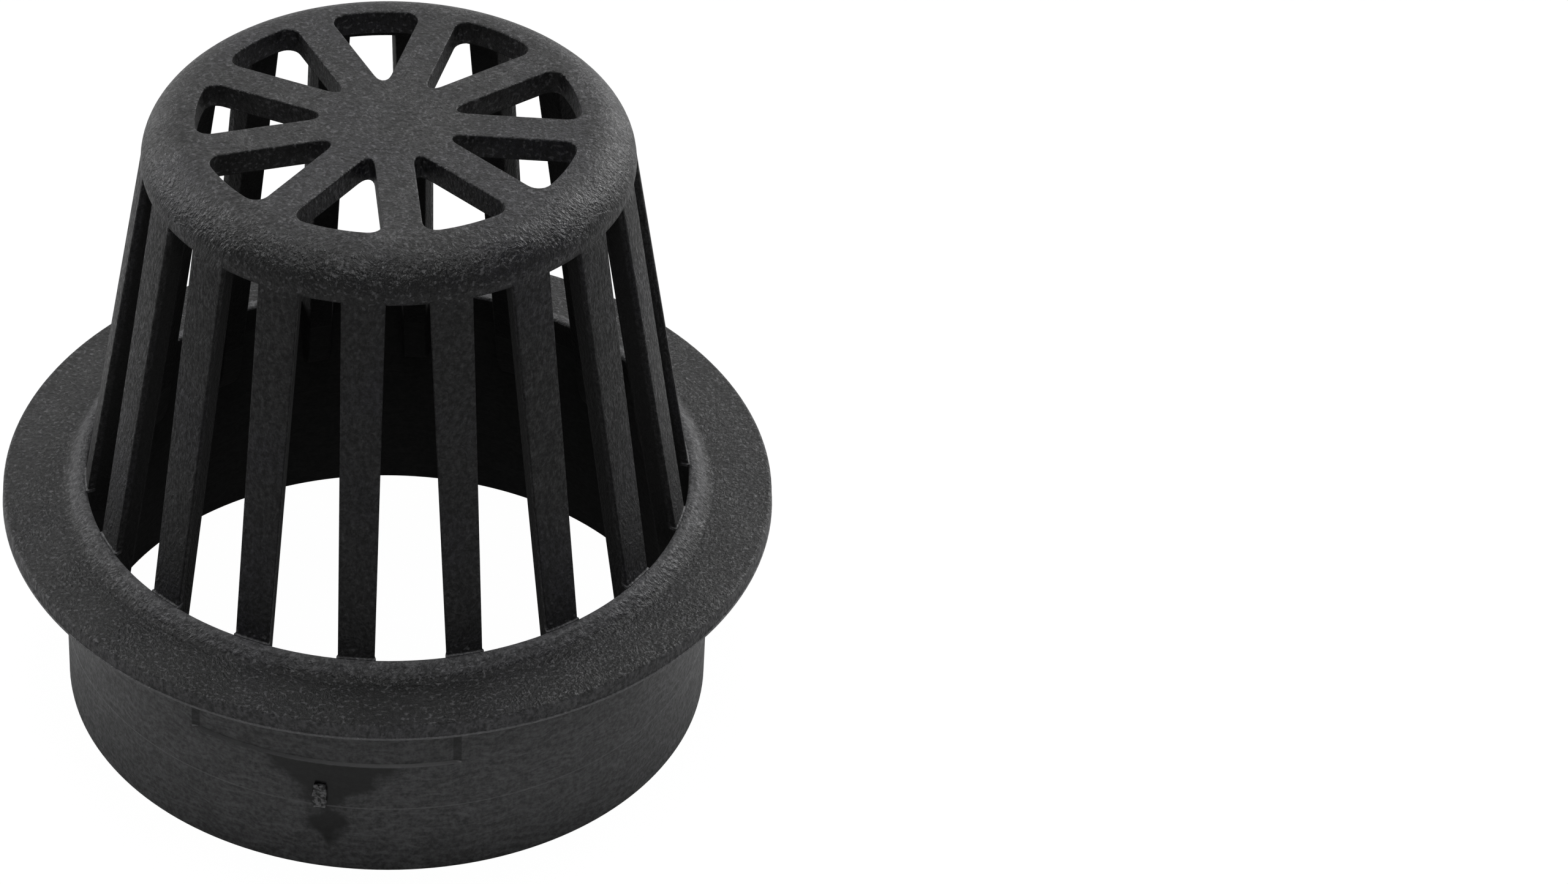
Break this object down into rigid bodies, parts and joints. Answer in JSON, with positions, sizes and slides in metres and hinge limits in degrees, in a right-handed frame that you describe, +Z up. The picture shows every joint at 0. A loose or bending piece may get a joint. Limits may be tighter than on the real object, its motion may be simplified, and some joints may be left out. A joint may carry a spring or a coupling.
{
  "type": "atrium grate",
  "caption": "Raised round drain grate: slotted dome-shaped cage on a flange with a spigot that drops into a pipe hub.",
  "frame": {"origin": "on the axis, at the level of the spigot's rim that the grate stands on", "axes": "+Z up along the axis through the cap, -Y towards the front, where a spoke of the cap points"},
  "size_m": [0.126, 0.126, 0.11],
  "materials": {
    "black_polyolefin": "satin as-moulded grain"
  },
  "bodies": {
    "root": {"atrium_grate": "black_polyolefin"}
  },
  "joints": []
}
